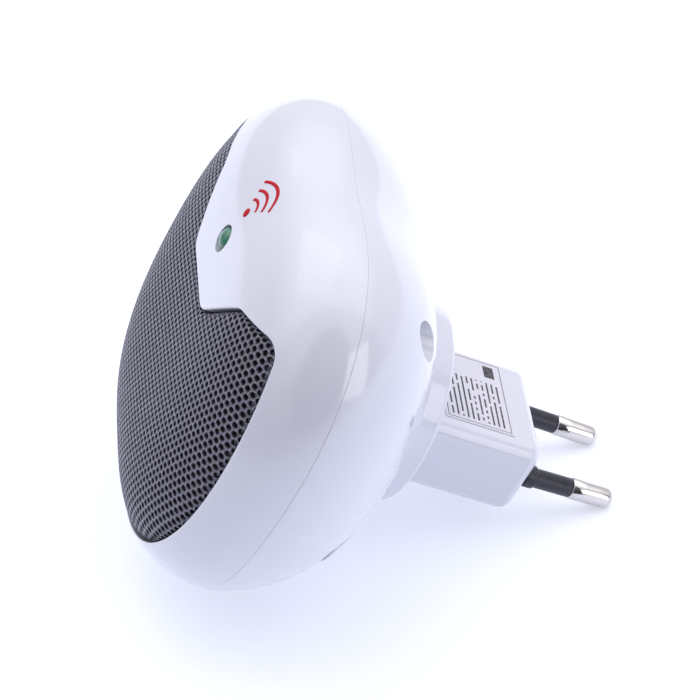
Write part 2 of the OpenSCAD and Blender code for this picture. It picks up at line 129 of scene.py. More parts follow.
def surface_normal(shell, x, z):
    """Outward normal of a shell's surface over the point (x, z), kept just inside the rim."""
    h = z - CASE_Z
    q = np.hypot(x, h) / outline_radius(np.arctan2(h, x))
    keep = np.minimum(1.0, JUST_INSIDE / np.maximum(q, 1e-9))
    x, z = x * keep, CASE_Z + h * keep
    e = 1e-4
    dx = (surface_y(shell, x + e, z) - surface_y(shell, x - e, z)) / (2 * e)
    dz = (surface_y(shell, x, z + e) - surface_y(shell, x, z - e)) / (2 * e)
    side = shell["side"]
    n = np.stack([-side * dx, side * np.ones_like(dx), -side * dz], -1)
    return n / np.linalg.norm(n, axis=-1, keepdims=True)


def on_surface(shell, flat, grow=0.0):
    """Points of the seam plane lifted onto a shell's surface."""
    y = surface_y(shell, flat[..., 0], flat[..., 1], grow)
    return np.stack([flat[..., 0], y, flat[..., 1]], -1)


# ---------- curves ----------
def resample(path, count):
    """A polyline as count points spaced evenly along it."""
    step = np.linalg.norm(np.diff(path, axis=0), axis=1)
    s = np.concatenate([[0], np.cumsum(step)])
    t = np.linspace(0, s[-1], count)
    return np.stack([np.interp(t, s, path[:, k]) for k in range(path.shape[1])], -1)


def corner_arc(start, corner, end, count=14):
    """A round corner from start to end, tangent to the lines that meet at corner."""
    start, corner, end = map(np.asarray, (start, corner, end))
    a, b = start - corner, end - corner
    cosine = a @ b / np.linalg.norm(a) / np.linalg.norm(b)
    weight = math.sqrt(max(0.0, (1 - cosine) / 2))
    t = np.linspace(0, 1, count)[:, None]
    top = (1 - t) ** 2 * start + 2 * weight * t * (1 - t) * corner + t ** 2 * end
    return top / ((1 - t) ** 2 + 2 * weight * t * (1 - t) + t ** 2)


def toward(a, b, distance):
    """The point at a distance from a, on the way to b."""
    a, b = np.asarray(a, float), np.asarray(b, float)
    return a + (b - a) / np.linalg.norm(b - a) * distance


def opening_point(a):
    """The grille opening's point at angle a, before the tongue is taken out of it."""
    r = OPENING_SHARE * outline_radius(a, OPENING_EGG, OPENING_SQUARE)
    return np.array([r * math.cos(a), CASE_Z + r * math.sin(a)])


def opening_half(count):
    """The right half of the grille opening, from its lowest point to the tongue's middle."""
    tongue, knee, far = TONGUE
    slope = (far[1] - knee[1]) / (far[0] - knee[0])
    low, high = 0.2, 1.2
    for _ in range(50):
        a = (low + high) / 2
        p = opening_point(a)
        above = p[1] > knee[1] + slope * (p[0] - knee[0])
        low, high = (low, a) if above else (a, high)
    ear = opening_point(a)
    curve = np.array([opening_point(t) for t in np.linspace(-math.pi / 2, a, 400)])
    ear_cut = EAR_R / math.tan(EAR_ANGLE / 2)
    away = np.linalg.norm(curve - ear, axis=1)
    curve = curve[away > ear_cut]
    knee_cut = KNEE_R * math.tan(KNEE_TURN / 2)
    tongue_cut = TONGUE_CORNER_R * math.tan(TONGUE_TURN / 2)
    middle = (0.0, tongue[1])
    path = np.vstack([
        curve,
        corner_arc(curve[-1], ear, toward(ear, knee, ear_cut)),
        corner_arc(toward(knee, ear, knee_cut), knee, toward(knee, tongue, knee_cut)),
        corner_arc(toward(tongue, knee, tongue_cut), tongue,
                   toward(tongue, middle, tongue_cut)),
        [middle],
    ])
    return resample(path, count)


def both_halves(half):
    """A closed outline from its right half, whose first and last points lie on x = 0."""
    left = half[1:-1][::-1] * (-1, 1)
    return np.vstack([half, left])


def outward(path):
    """Unit normals in the plane of a closed outline that runs anticlockwise."""
    d = np.roll(path, -1, axis=0) - np.roll(path, 1, axis=0)
    n = np.stack([d[:, 1], -d[:, 0]], -1)
    return n / np.linalg.norm(n, axis=1, keepdims=True)


# ---------- meshes ----------
def make_object(name, vertices, faces):
    mesh = bpy.data.meshes.new(name)
    scaled = (np.asarray(vertices, float) * MM).tolist()
    mesh.from_pydata(scaled, [], faces)
    mesh.validate()
    mesh.update()
    mesh.polygons.foreach_set("use_smooth", [True] * len(mesh.polygons))
    obj = bpy.data.objects.new(name, mesh)
    bpy.context.scene.collection.objects.link(obj)
    return obj


def loops_object(name, loops, flip=False, wrap=False, caps=(False, False)):
    """A skin through closed loops that all have the same number of points."""
    loops = np.asarray(loops, float)
    rows, count = loops.shape[:2]
    faces = []
    for j in range(rows if wrap else rows - 1):
        a, b = j * count, (j + 1) % rows * count
        for i in range(count):
            k = (i + 1) % count
            quad = (a + i, a + k, b + k, b + i)
            faces.append(quad[::-1] if flip else quad)
    if caps[0]:
        ring = tuple(range(count))
        faces.append(ring if flip else ring[::-1])
    if caps[1]:
        ring = tuple(range((rows - 1) * count, rows * count))
        faces.append(ring[::-1] if flip else ring)
    return make_object(name, loops.reshape(-1, 3), faces)


def set_normals(obj, normals):
    """Sets one normal for each vertex."""
    obj.data.normals_split_custom_set_from_vertices(np.asarray(normals, float).tolist())


def modify(obj, kind, **settings):
    """Adds a modifier and applies it to the mesh."""
    modifier = obj.modifiers.new(kind, kind)
    for key, value in settings.items():
        setattr(modifier, key, value)
    graph = bpy.context.evaluated_depsgraph_get()
    mesh = bpy.data.meshes.new_from_object(obj.evaluated_get(graph))
    obj.modifiers.clear()
    old = obj.data
    obj.data = mesh
    bpy.data.meshes.remove(old)
    return obj


def cut(obj, cutter, operation="DIFFERENCE"):
    """An exact boolean of two closed pieces, which uses up the cutter."""
    modify(obj, "BOOLEAN", operation=operation, object=cutter, solver="EXACT")
    bpy.data.objects.remove(cutter)


def shade_shell(obj, shell):
    """Gives the faces that lie on a shell's surface the surface's own normals."""
    mesh = obj.data
    mesh.polygons.foreach_set("use_smooth", [True] * len(mesh.polygons))
    mesh.set_sharp_from_angle(angle=math.radians(32))
    co = np.zeros(len(mesh.vertices) * 3)
    mesh.vertices.foreach_get("co", co)
    co = co.reshape(-1, 3) / MM
    exact = surface_y(shell, co[:, 0], co[:, 2])
    h = co[:, 2] - CASE_Z
    share = np.hypot(co[:, 0], h) / outline_radius(np.arctan2(h, co[:, 0]))
    low, high = RIM_SHARES
    on = (np.abs(co[:, 1] - exact) < ON_SURFACE) | ((share > low) & (share < high))
    smooth = surface_normal(shell, co[:, 0], co[:, 2])
    corner = np.zeros(len(mesh.loops) * 3, np.float32)
    mesh.corner_normals.foreach_get("vector", corner)
    corner = corner.reshape(-1, 3)
    vertex = np.zeros(len(mesh.loops), np.int32)
    mesh.loops.foreach_get("vertex_index", vertex)
    for face in mesh.polygons:
        own = range(face.loop_start, face.loop_start + face.loop_total)
        if all(on[vertex[i]] for i in own):
            for i in own:
                corner[i] = smooth[vertex[i]]
    mesh.normals_split_custom_set(corner.tolist())


def lathe(name, profile, place=(0, 0, 0), direction=(0, 1, 0), count=96, sharp=40):
    """A turned shape. profile lists (radius, distance along direction) from end to end."""
    axis = Vector(direction).normalized()
    turn = Vector((0, 0, 1)).rotation_difference(axis).to_matrix()
    vertices, faces, rings = [], [], []
    for r, t in profile:
        if r < 1e-6:
            rings.append([len(vertices)])
            vertices.append(turn @ Vector((0, 0, t)) + Vector(place))
            continue
        rings.append(list(range(len(vertices), len(vertices) + count)))
        for i in range(count):
            a = TAU * i / count
            spot = Vector((r * math.cos(a), r * math.sin(a), t))
            vertices.append(turn @ spot + Vector(place))
    for low, high in zip(rings[:-1], rings[1:]):
        for i in range(count):
            k = (i + 1) % count
            if len(low) == 1:
                faces.append((low[0], high[i], high[k])[::-1])
            elif len(high) == 1:
                faces.append((low[i], low[k], high[0]))
            else:
                faces.append((low[i], low[k], high[k], high[i]))
    obj = make_object(name, [tuple(v) for v in vertices], faces)
    obj.data.set_sharp_from_angle(angle=math.radians(sharp))
    return obj


def rounded_profile(points, radius, steps=4):
    """A lathe profile with every corner between its ends rounded by radius."""
    out = [points[0]]
    for before, corner, after in zip(points[:-2], points[1:-1], points[2:]):
        room = min(math.dist(before, corner), math.dist(corner, after)) / 2
        r = min(radius, room)
        out += [tuple(p) for p in
                corner_arc(toward(corner, before, r), corner, toward(corner, after, r), steps)]
    return out + [points[-1]]


# ---------- materials ----------
class Shader:
    """A principled material with helpers for its node tree."""

    def __init__(self, name, color, roughness, **sockets):
        self.material = bpy.data.materials.new(name)
        self.material.use_nodes = True
        self.nodes = self.material.node_tree.nodes
        self.links = self.material.node_tree.links
        self.shader = self.nodes["Principled BSDF"]
        self.shader.inputs["Base Color"].default_value = (*color, 1)
        self.shader.inputs["Roughness"].default_value = roughness
        for key, value in sockets.items():
            self.shader.inputs[key.replace("_", " ")].default_value = value
        self.place = self.nodes.new("ShaderNodeTexCoord").outputs["Object"]
        self.material.diffuse_color = (*color, 1)

    def math(self, operation, a, b=0.0, c=0.0):
        node = self.nodes.new("ShaderNodeMath")
        node.operation = operation
        for socket, value in zip(node.inputs, (a, b, c)):
            if isinstance(value, bpy.types.NodeSocket):
                self.links.new(value, socket)
            else:
                socket.default_value = value
        return node.outputs[0]

    def noise(self, scale, detail=3.0, roughness=0.5, stretch=None):
        node = self.nodes.new("ShaderNodeTexNoise")
        node.inputs["Scale"].default_value = scale
        node.inputs["Detail"].default_value = detail
        node.inputs["Roughness"].default_value = roughness
        source = self.place
        if stretch:
            mapping = self.nodes.new("ShaderNodeMapping")
            mapping.inputs["Scale"].default_value = stretch
            self.links.new(self.place, mapping.inputs["Vector"])
            source = mapping.outputs[0]
        self.links.new(source, node.inputs["Vector"])
        return node.outputs["Fac"]

    def cells(self, scale):
        node = self.nodes.new("ShaderNodeTexVoronoi")
        node.inputs["Scale"].default_value = scale
        self.links.new(self.place, node.inputs["Vector"])
        return node

    def spread(self, value, low, high, from_low=0.3, from_high=0.7):
        node = self.nodes.new("ShaderNodeMapRange")
        for key, number in zip(("From Min", "From Max", "To Min", "To Max"),
                               (from_low, from_high, low, high)):
            node.inputs[key].default_value = number
        self.links.new(value, node.inputs["Value"])
        return node.outputs["Result"]

    def mix(self, factor, a, b):
        node = self.nodes.new("ShaderNodeMix")
        node.data_type = "RGBA"
        self.links.new(factor, node.inputs["Factor"])
        for key, value in (("A", a), ("B", b)):
            socket = [s for s in node.inputs if s.name == key and s.type == "RGBA"][0]
            if isinstance(value, bpy.types.NodeSocket):
                self.links.new(value, socket)
            else:
                socket.default_value = (*value, 1)
        return [s for s in node.outputs if s.type == "RGBA"][0]

    def set_color(self, socket):
        self.links.new(socket, self.shader.inputs["Base Color"])

    def set_roughness(self, socket):
        self.links.new(socket, self.shader.inputs["Roughness"])

    def bump(self, height, distance, strength=1.0):
        node = self.nodes.new("ShaderNodeBump")
        node.inputs["Distance"].default_value = distance
        node.inputs["Strength"].default_value = strength
        self.links.new(height, node.inputs["Height"])
        if self.shader.inputs["Normal"].is_linked:
            source = self.shader.inputs["Normal"].links[0].from_socket
            self.links.new(source, node.inputs["Normal"])
        self.links.new(node.outputs[0], self.shader.inputs["Normal"])

    def axis(self, name):
        node = self.nodes.new("ShaderNodeSeparateXYZ")
        self.links.new(self.place, node.inputs[0])
        return node.outputs[name]


def shade(color, factor):
    """A colour made lighter or darker."""
    return tuple(min(1.0, c * factor) for c in color)


def plastic(name, color, roughness, vary=0.05, grain=900.0, depth=0.00002, **sockets):
    """Moulded plastic: faint clouding in its colour and gloss, and a fine moulded grain."""
    s = Shader(name, color, roughness, **sockets)
    cloud = s.noise(60.0, 4.0)
    s.set_color(s.mix(s.spread(cloud, 0.0, 1.0), shade(color, 1 - vary), shade(color, 1 + vary)))
    s.set_roughness(s.spread(s.noise(220.0), roughness * 0.85, roughness * 1.2))
    s.bump(s.noise(grain, 2.0), depth, 0.4)
    return s.material


def metal(name, color, roughness, scratch=(1, 1, 1), vary=0.06, **sockets):
    """Bare metal with fine scratches that run across the stretched axis."""
    s = Shader(name, color, roughness, Metallic=1.0, **sockets)
    streak = s.noise(1400.0, 3.0, 0.6, scratch)
    s.set_color(s.mix(s.spread(streak, 0.0, 1.0), shade(color, 1 - vary), shade(color, 1 + vary)))
    s.set_roughness(s.spread(s.noise(500.0, 4.0), roughness * 0.7, roughness * 1.5))
    s.bump(streak, 0.000004, 0.5)
    return s.material


def case_material():
    """Glossy white ABS with a faint lavender cast."""
    color = (0.665, 0.675, 0.775)
    s = Shader("case_plastic", color, 0.12, Specular_IOR_Level=0.7, Coat_Weight=0.6,
               Coat_Roughness=0.03)
    cloud = s.noise(38.0, 4.0, 0.55)
    s.set_color(s.mix(s.spread(cloud, 0.0, 1.0), shade(color, 0.985), shade(color, 1.01)))
    s.set_roughness(s.spread(s.noise(160.0, 3.0), 0.10, 0.16))
    s.bump(s.noise(26.0, 2.0), 0.00004, 0.12)
    return s.material


def grille_material():
    """Dark satin paint on pressed sheet, finely mottled in colour and gloss."""
    color = (0.13, 0.125, 0.17)
    s = Shader("grille_paint", color, 0.34, Metallic=0.5, Specular_IOR_Level=0.6,
               Coat_Weight=0.4, Coat_Roughness=0.2)
    fine = s.noise(1800.0, 3.0, 0.6)
    s.set_color(s.mix(s.spread(fine, 0.0, 1.0), shade(color, 0.7), shade(color, 1.3)))
    s.set_roughness(s.spread(s.noise(700.0), 0.26, 0.44))
    s.bump(fine, 0.00001, 0.5)
    return s.material


def led_material():
    """Green tinted epoxy with a soft clouded inside."""
    color = (0.02, 0.26, 0.15)
    s = Shader("led_lens", color, 0.12, Transmission_Weight=0.35, IOR=1.5, Coat_Weight=0.6)
    s.set_color(s.mix(s.spread(s.noise(500.0), 0.0, 1.0), shade(color, 0.75), shade(color, 1.3)))
    s.set_roughness(s.spread(s.noise(900.0), 0.08, 0.16))
    return s.material


def sleeve_material():
    """Black PVC with a grey bloom and a finely dimpled skin."""
    color = (0.010, 0.010, 0.021)
    s = Shader("sleeve_plastic", color, 0.42, Specular_IOR_Level=0.5)
    bloom = s.noise(700.0, 5.0, 0.65)
    s.set_color(s.mix(s.spread(bloom, 0.0, 1.0), shade(color, 0.6), shade(color, 2.0)))
    s.set_roughness(s.spread(bloom, 0.24, 0.42))
    s.bump(s.noise(1500.0, 3.0), 0.00003, 0.6)
    return s.material


# The label's print, in metres: the frame line's inset and half width, the margin inside it, the
# pitch of the rows and of the dashes in a row.
FILM_PRINT = (0.00055, 0.00008, 0.0014, 0.00105, 0.0008)
BAR_SHARE, DASH_GAPS = 0.36, 0.2
BARS_FROM_X, BLOCK_TO_X, BLOCK_AHEAD, BLOCK_HALF_LENGTH = -0.0035, -0.0052, 0.0040, 0.0011


def label_material():
    """White film with a thin frame, rows of plain dark bars and one dark block."""
    paper = (0.66, 0.65, 0.73)
    ink = (0.012, 0.012, 0.02)
    s = Shader("label_paper", paper, 0.4, Specular_IOR_Level=0.25)
    x, y = s.axis("X"), s.axis("Y")
    low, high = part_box("rating_label")
    middle = (low + high) / 2
    half = (high - low) / 2
    across = s.math("ABSOLUTE", s.math("SUBTRACT", x, middle.x))
    along = s.math("ABSOLUTE", s.math("SUBTRACT", y, middle.y))
    inset = s.math("MINIMUM", s.math("SUBTRACT", half.x, across),
                   s.math("SUBTRACT", half.y, along))
    line_inset, line_half_width, margin, row_pitch, dash_pitch = FILM_PRINT
    frame_line = s.math("COMPARE", inset, line_inset, line_half_width)
    row = s.math("DIVIDE", s.math("SUBTRACT", y, low.y + margin), row_pitch)
    number = s.math("FLOOR", row)
    height = s.math("LESS_THAN", s.math("FRACT", row), BAR_SHARE)
    dash = s.nodes.new("ShaderNodeTexWhiteNoise")
    dash.noise_dimensions = "2D"
    place = s.nodes.new("ShaderNodeCombineXYZ")
    s.links.new(s.math("FLOOR", s.math("DIVIDE", x, dash_pitch)), place.inputs[0])
    s.links.new(number, place.inputs[1])
    s.links.new(place.outputs[0], dash.inputs["Vector"])
    written = s.math("GREATER_THAN", dash.outputs["Value"], DASH_GAPS)
    inside = s.math("GREATER_THAN", inset, margin)
    beside = s.math("GREATER_THAN", x, BARS_FROM_X)
    bars = s.math("MULTIPLY", s.math("MULTIPLY", height, written),
                  s.math("MULTIPLY", inside, beside))
    block = s.math("MULTIPLY", s.math("LESS_THAN", x, BLOCK_TO_X),
                   s.math("COMPARE", y, middle.y + BLOCK_AHEAD, BLOCK_HALF_LENGTH))
    block = s.math("MULTIPLY", block, inside)
    print_mask = s.math("MAXIMUM", s.math("MAXIMUM", bars, frame_line), block)
    fade = s.spread(s.noise(2500.0), 0.8, 1.0)
    s.set_color(s.mix(s.math("MULTIPLY", print_mask, fade), paper, ink))
    s.set_roughness(s.spread(s.noise(400.0), 0.26, 0.4))
    s.bump(s.noise(1200.0), 0.00001, 0.3)
    return s.material


def board_material():
    """Green solder mask with lighter tracks showing through it."""
    green = (0.02, 0.16, 0.06)
    s = Shader("board_green", green, 0.3, Coat_Weight=0.4, Coat_Roughness=0.1)
    cell = s.cells(420.0)
    cell.feature = "DISTANCE_TO_EDGE"
    track = s.math("LESS_THAN", cell.outputs["Distance"], 0.06)
    s.set_color(s.mix(track, green, shade(green, 1.9)))
    s.set_roughness(s.spread(s.noise(600.0), 0.22, 0.38))
    s.bump(track, 0.00002, 0.6)
    return s.material


def make_materials():
    m = {
        "case_plastic": case_material(),
        "grille_paint": grille_material(),
        "led_lens": led_material(),
        # Near-black paint for the back of the grille and the deep walls of its holes: painted
        # shade in the holes.
        "grille_painted_shade": plastic("grille_painted_shade", (0.012, 0.011, 0.017), 0.6, 0.4),
        "sleeve_plastic": sleeve_material(),
        "label_paper": label_material(),
        "board_green": board_material(),
        "pin_nickel": metal("pin_nickel", (0.66, 0.63, 0.63), 0.08, (1, 12, 1)),
        "tinned_wire": metal("tinned_wire", (0.78, 0.77, 0.74), 0.25),
        "zinc_steel": metal("zinc_steel", (0.62, 0.62, 0.60), 0.28, (4, 1, 1), 0.12),
        "black_steel": metal("black_steel", (0.06, 0.06, 0.065), 0.35, (4, 1, 1), 0.2),
        "piezo_brass": metal("piezo_brass", (0.72, 0.52, 0.20), 0.22, (6, 1, 1), 0.1),
        "coil_copper": metal("coil_copper", (0.55, 0.22, 0.08), 0.3, (1, 30, 1), 0.3),
        "mark_red": plastic("mark_red", (0.50, 0.004, 0.018), 0.5, 0.08,
                            Specular_IOR_Level=0.15),
    }
    plain = {
        "baffle_plastic": ((0.02, 0.02, 0.022), 0.5, 0.2),
        "speaker_plastic": ((0.015, 0.015, 0.017), 0.4, 0.2),
        "gasket_foam": ((0.02, 0.02, 0.021), 0.9, 0.4),
        "cone_paper": ((0.03, 0.03, 0.035), 0.85, 0.3),
        "piezo_ceramic": ((0.70, 0.67, 0.58), 0.5, 0.08),
        "wire_brown": ((0.20, 0.075, 0.03), 0.35, 0.15),
        "wire_blue": ((0.03, 0.12, 0.42), 0.35, 0.12),
        "wire_red": ((0.50, 0.02, 0.02), 0.35, 0.12),
        "wire_black": ((0.015, 0.015, 0.016), 0.4, 0.2),
        "film_yellow": ((0.62, 0.38, 0.03), 0.3, 0.1),
        "chip_black": ((0.02, 0.02, 0.022), 0.55, 0.25),
        "resistor_brown": ((0.30, 0.11, 0.05), 0.45, 0.2),
        "resistor_blue": ((0.10, 0.32, 0.52), 0.3, 0.15),
        "varistor_blue": ((0.02, 0.06, 0.36), 0.25, 0.15),
        "can_sleeve": ((0.02, 0.025, 0.045), 0.25, 0.2),
        "diode_glass": ((0.55, 0.14, 0.05), 0.15, 0.15),
        "disc_orange": ((0.55, 0.18, 0.03), 0.35, 0.15),
    }
    for name, (color, roughness, vary) in plain.items():
        m[name] = plastic(name, color, roughness, vary)
    return m


MATERIALS = make_materials()


def dress(obj, slot, *nodes, material=None):
    """Gives a new piece the material named by slot, or by material when that is given, lets it
    ride, and hides the nodes it stands for.
    """
    obj.data.materials.clear()
    obj.data.materials.append(MATERIALS[material or slot])
    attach(obj, "root")
    if nodes:
        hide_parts(*nodes)


def dress_cad_nodes():
    """Every CAD node gets the procedural material of its slot."""
    for part in frame["record"]["subparts"]:
        mesh = frame["nodes"][part["node"]].data
        material = MATERIALS[part["material_slot"]]
        if not mesh.materials:
            mesh.materials.append(material)
        for k in range(len(mesh.materials)):
            mesh.materials[k] = material


# ---------- front shell ----------
COLUMNS = 320


def opening_loop():
    return both_halves(opening_half(COLUMNS // 2 + 1))


def outer_angles(loop):
    """For each point of the opening, the angle of the outline point it is joined to."""
    half = loop[:COLUMNS // 2 + 1]
    own = np.arctan2(half[:, 1] - CASE_Z, half[:, 0])
    tip = int(np.argmax(half[:, 0] + 0.9 * half[:, 1]))
    step = np.linalg.norm(np.diff(half[tip:], axis=0), axis=1)
    step = np.concatenate([[0], np.cumsum(step)])
    own[tip:] = own[tip] + (math.pi / 2 - own[tip]) * step / step[-1]
    kernel = np.ones(9) / 9
    padded = np.concatenate([-math.pi - own[4:0:-1], own, math.pi - own[-2:-6:-1]])
    own = np.convolve(padded, kernel, "valid")
    left = math.pi - own[1:-1][::-1]
    return np.concatenate([own, left])


def even_rows(shell, start, end, rows, grow=0.0, rim_depth=SEAM_ROUND):
    """Rows of surface points from start toward end, evenly spaced, down to rim_depth."""
    u = np.linspace(0, 1, 260)
    share = 1 - (1 - u) ** 2
    flat = start[None] + (end - start)[None] * share[:, None, None]
    points = on_surface(shell, flat, grow)
    length = np.linalg.norm(np.diff(points, axis=0), axis=2)
    s = np.vstack([np.zeros(len(start)), np.cumsum(length, axis=0)])
    out = np.zeros((rows, len(start), 3))
    for i in range(len(start)):
        height = np.abs(points[:, i, 1] - SEAM_Y)
        last = np.interp(-rim_depth, -height, s[:, i])
        t = np.linspace(0, last, rows)
        wanted = np.interp(t, s[:, i], share)
        line = start[i] + (end[i] - start[i]) * wanted[:, None]
        out[:, i] = on_surface(shell, line, grow)
    return out


def outline_points(angles, grow=0.0):
    r = outline_radius(angles) + grow
    return np.stack([r * np.cos(angles), CASE_Z + r * np.sin(angles)], -1)


def rim_rows(shell, angles):
    """The small round edge at the seam and the flat rim behind it, from outside to inside."""
    side = shell["side"]
    edge = outline_points(angles)
    inner = outline_points(angles, -SEAM_INSET)
    high = SEAM_Y + side * SEAM_ROUND
    low = SEAM_Y + side * SEAM_GAP
    rows = []
    for t in np.linspace(0.25, 1, 4):
        flat = (1 - t) ** 2 * edge + 2 * t * (1 - t) * edge + t * t * inner
        y = (1 - t) ** 2 * high + 2 * t * (1 - t) * low + t * t * low
        rows.append(level(flat, y))
    rows.append(level(outline_points(angles, -WALL), low))
    return rows


def level(flat, y):
    """Points of a plane of constant y."""
    return np.stack([flat[:, 0], np.full(len(flat), float(y)), flat[:, 1]], -1)


def build_front_shell():
    """The front half: the outside, the opening's rolled lip, the ledge, the inside and the rim."""
    loop = opening_loop()
    n = outward(loop)
    angles = outer_angles(loop)
    lip = 0.45
    edge = on_surface(FRONT, loop)
    top = even_rows(FRONT, loop + n * lip, outline_points(angles), 44)
    wall_top = edge + (0, lip, 0)
    rows = list(top[::-1])
    start = top[0]
    for t in np.linspace(0.2, 1, 5):
        rows.append((1 - t) ** 2 * start + 2 * t * (1 - t) * edge + t * t * wall_top)
    y_front, y_back = LEDGE_Y - 0.9, LEDGE_Y - 0.1
    shrunk = (loop - (0, SPEAKER_Z)) * 0.8 + (0, SPEAKER_Z)
    rows += [level(loop, y_front - 0.1), level(loop - n * 0.1, y_front)]
    rows += [level(shrunk, y_front), level(shrunk, y_back)]
    inner_start = loop + n * WALL
    inner = even_rows(FRONT, inner_start, outline_points(angles, -WALL), 12, -WALL, 0.5)
    rows += [level(loop + n * (WALL - 0.4), y_back)]
    rows += list(inner)
    rows += rim_rows(FRONT, angles)[::-1]
    shell = loops_object("front_case", rows, wrap=True)
    hole = LED_R + LED_CLEARANCE
    cutter = lathe("led_cutter", [(0, 0), (hole, 0), (hole, 26), (0, 26)],
                   (0, SEAM_Y - 25, LED_Z), (0, 1, 0), 72)
    cut(shell, cutter)
    shade_shell(shell, FRONT)
    dress(shell, "case_plastic", "front_shell")


# ---------- rear shell ----------
def build_rear_shell():
    """The rear half round the plug's hole, with four screw bosses and their recesses."""
    count = 288
    angles = -math.pi / 2 + np.arange(count) * TAU / count
    hole_r = SPIGOT_R + 0.2
    start = np.stack([hole_r * np.cos(angles), COLLAR_Z + hole_r * np.sin(angles)], -1)
    outer = even_rows(REAR, start, outline_points(angles), 48)
    inner = even_rows(REAR, start, outline_points(angles, -WALL), 20, -WALL, 0.5)
    rows = list(outer[::-1]) + list(inner) + rim_rows(REAR, angles)[::-1]
    shell = loops_object("rear_case", rows, wrap=True, flip=True)
    middle = on_surface(REAR, np.array([[0.0, CASE_Z]]), -WALL / 2)[0]
    for k, (x, z) in enumerate(SCREW_PLACES):
        boss = lathe(f"boss_{k}", [(0, 0.3), (BOSS_R, 0.3), (BOSS_R, 28), (0, 28)],
                     (x, SEAM_Y, z))
        fan = even_rows(REAR, middle[[0, 2]] + (start - (0, COLLAR_Z)) * 0.02,
                        outline_points(angles, -WALL / 2), 40, -WALL / 2, 0.3)
        dome = loops_object("dome_inside", fan, caps=(True, True))
        cut(boss, dome, "INTERSECT")
        cut(shell, boss, "UNION")
        profile = [(0, -1), (SCREW_HOLE_R, -1), (SCREW_HOLE_R, SCREW_SEAT),
                   (SCREW_RECESS_R - 0.2, SCREW_SEAT), (SCREW_RECESS_R, SCREW_SEAT + 0.2),
                   (SCREW_RECESS_R, 40), (0, 40)]
        cut(shell, lathe(f"recess_{k}", profile, (x, SEAM_Y, z), (0, 1, 0), 64))
    shade_shell(shell, REAR)
    dress(shell, "case_plastic", "rear_shell")


# ---------- grille ----------
HOLE_PITCH, HOLE_R, HOLE_SIDES = 1.44, 0.49, 10
LATTICE_TURN = math.radians(2.5)
LATTICE_REACH, LATTICE_SHIFT = 50, (0, -2.0)
FOLD_R, SKIRT, WEB = 1.4, 0.4, 0.12
# A cross product shorter than this, for a square of side 1, is no use as a normal.
PINCHED = 0.05
# Rings of a hole from the front to the back: how much wider than the hole, and how deep.
HOLE_RINGS = [(0.11, 0.0), (0.035, 0.045), (0.0, 0.13), (0.0, GRILLE_SHEET)]


def hole_centres(border, margin):
    """Staggered hole centres that stay margin inside a closed outline."""
    span = int(LATTICE_REACH / HOLE_PITCH)
    turn = np.array([[math.cos(LATTICE_TURN), -math.sin(LATTICE_TURN)],
                     [math.sin(LATTICE_TURN), math.cos(LATTICE_TURN)]])
    grid = [((i + 0.5 * (j % 2)) * HOLE_PITCH, j * HOLE_PITCH * math.sqrt(0.75))
            for j in range(-span, span + 1) for i in range(-span, span + 1)]
    centres = np.array(grid) @ turn.T + LATTICE_SHIFT
    depth = signed_distance(centres, border)[0]
    return centres[depth < -margin]


def signed_distance(points, loop):
    """Distance past a closed outline, with the nearest place on it and its outward normal."""
    after = np.roll(loop, -1, axis=0)
    normal = outward(loop)
    along = after - loop
    best = np.full(len(points), 1e9)
    place = np.zeros((len(points), 2))
    facing = np.zeros((len(points), 2))
    for a, d, n0, n1 in zip(loop, along, normal, np.roll(normal, -1, axis=0)):
        t = np.clip(((points - a) @ d) / (d @ d), 0, 1)[:, None]
        spot = a + t * d
        away = np.linalg.norm(points - spot, axis=1)
        nearer = away < best
        best[nearer] = away[nearer]
        place[nearer] = spot[nearer]
        facing[nearer] = ((1 - t) * n0 + t * n1)[nearer]
    side = np.sign(((points - place) * facing).sum(1))
    return best * side, place, facing


def folded(points, edge):
    """Sheet points in 3-D: on the surface inside the edge, rolled over it and down past it."""
    s, place, facing = signed_distance(points, edge)
    flat = on_surface(FRONT, points, -GRILLE_SUNK)
    a = on_surface(FRONT, place - facing * FOLD_R, -GRILLE_SUNK)
    c = on_surface(FRONT, place, -GRILLE_SUNK)
    b = c + (0, FOLD_R, 0)
    u = np.clip((s + FOLD_R) / (2 * FOLD_R), 0, 1)[:, None]
    rolled = (1 - u) ** 2 * a + 2 * u * (1 - u) * c + u * u * b
    rolled[:, 1] += np.maximum(0, s - FOLD_R)
    return np.where((s < -FOLD_R)[:, None], flat, rolled)


def sheet_points(points, depth, edge):
    """Sheet points pushed back by depth along the sheet's own normal.

    Round a corner of the outline the rolled rim pinches to a line and has no normal of its own,
    so there the normal fans from the face to the skirt.
    """
    e = 0.02
    p = folded(points, edge)
    px = folded(points + (e, 0), edge) - folded(points - (e, 0), edge)
    pz = folded(points + (0, e), edge) - folded(points - (0, e), edge)
    n = np.cross(px, pz)
    s, _, facing = signed_distance(points, edge)
    pinched = np.linalg.norm(n, axis=1) < PINCHED * e * e
    turn = math.pi / 4 * (np.clip(s / FOLD_R, -1, 1) + 1)
    fan = np.stack([facing[:, 0] * np.sin(turn), -np.cos(turn),
                    facing[:, 1] * np.sin(turn)], -1)
    n[pinched] = fan[pinched]
    n /= np.linalg.norm(n, axis=1, keepdims=True)
    return p - n * np.asarray(depth)[:, None]


